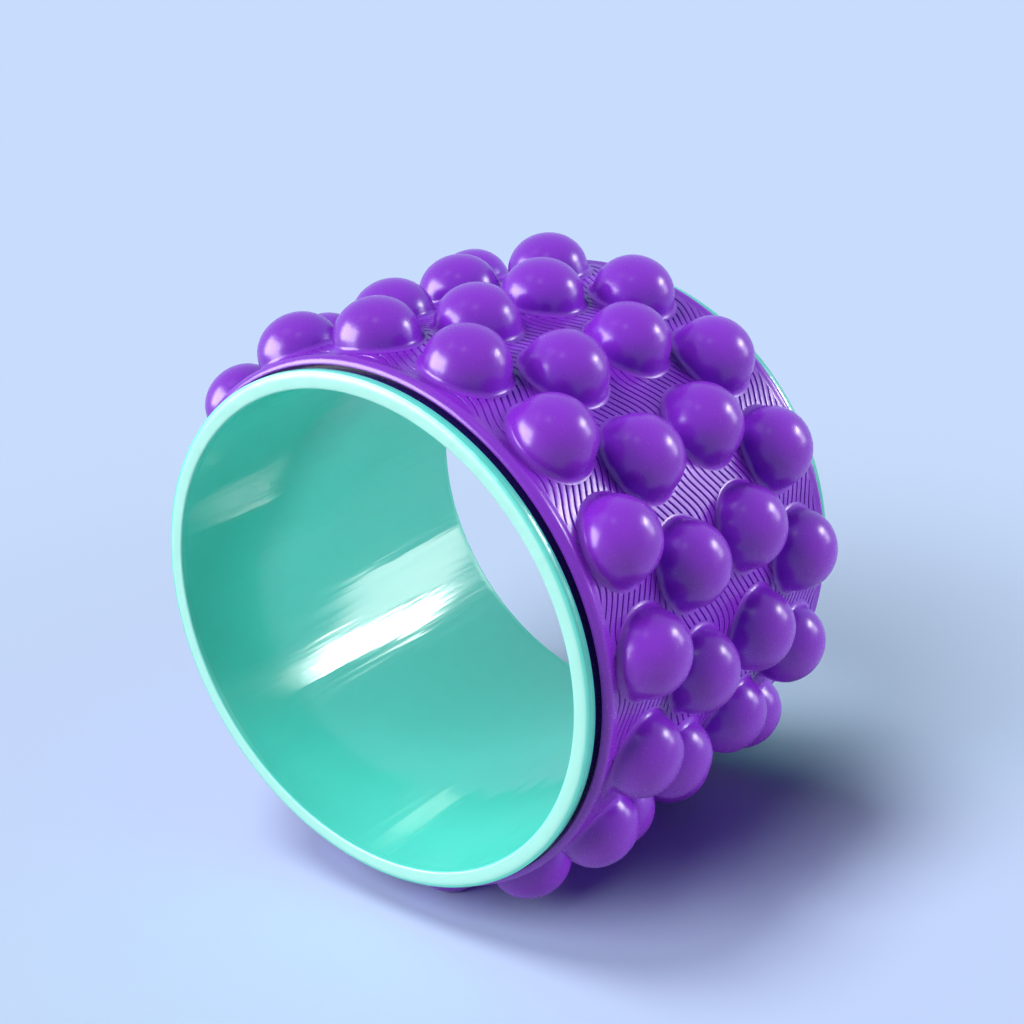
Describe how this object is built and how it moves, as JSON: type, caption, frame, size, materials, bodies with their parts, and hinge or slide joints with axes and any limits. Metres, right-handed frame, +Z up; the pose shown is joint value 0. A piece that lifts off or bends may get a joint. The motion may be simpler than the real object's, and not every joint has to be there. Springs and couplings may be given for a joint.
{
  "type": "back roller wheel",
  "caption": "Wide back roller wheel: an open rigid plastic hoop with ringed ends and a soft rubber tread covered with staggered rows of round massage balls",
  "frame": {"origin": "the centre of the wheel, on its axle line, halfway between its two ends", "axes": "+Y is the wheel's axle line and points from the seen front end to the back end. +Z is up, with the wheel standing on its balls on a floor at the bottom of the box. +X is to the right when looking along +Y"},
  "size_m": [0.2686, 0.185, 0.2686],
  "materials": {
    "mint_plastic": "gloss",
    "purple_rubber": "satin"
  },
  "bodies": {
    "root": {"hoop": "mint_plastic", "front_end_ring": "mint_plastic", "back_end_ring": "mint_plastic", "massage_tread": "purple_rubber"}
  },
  "joints": []
}
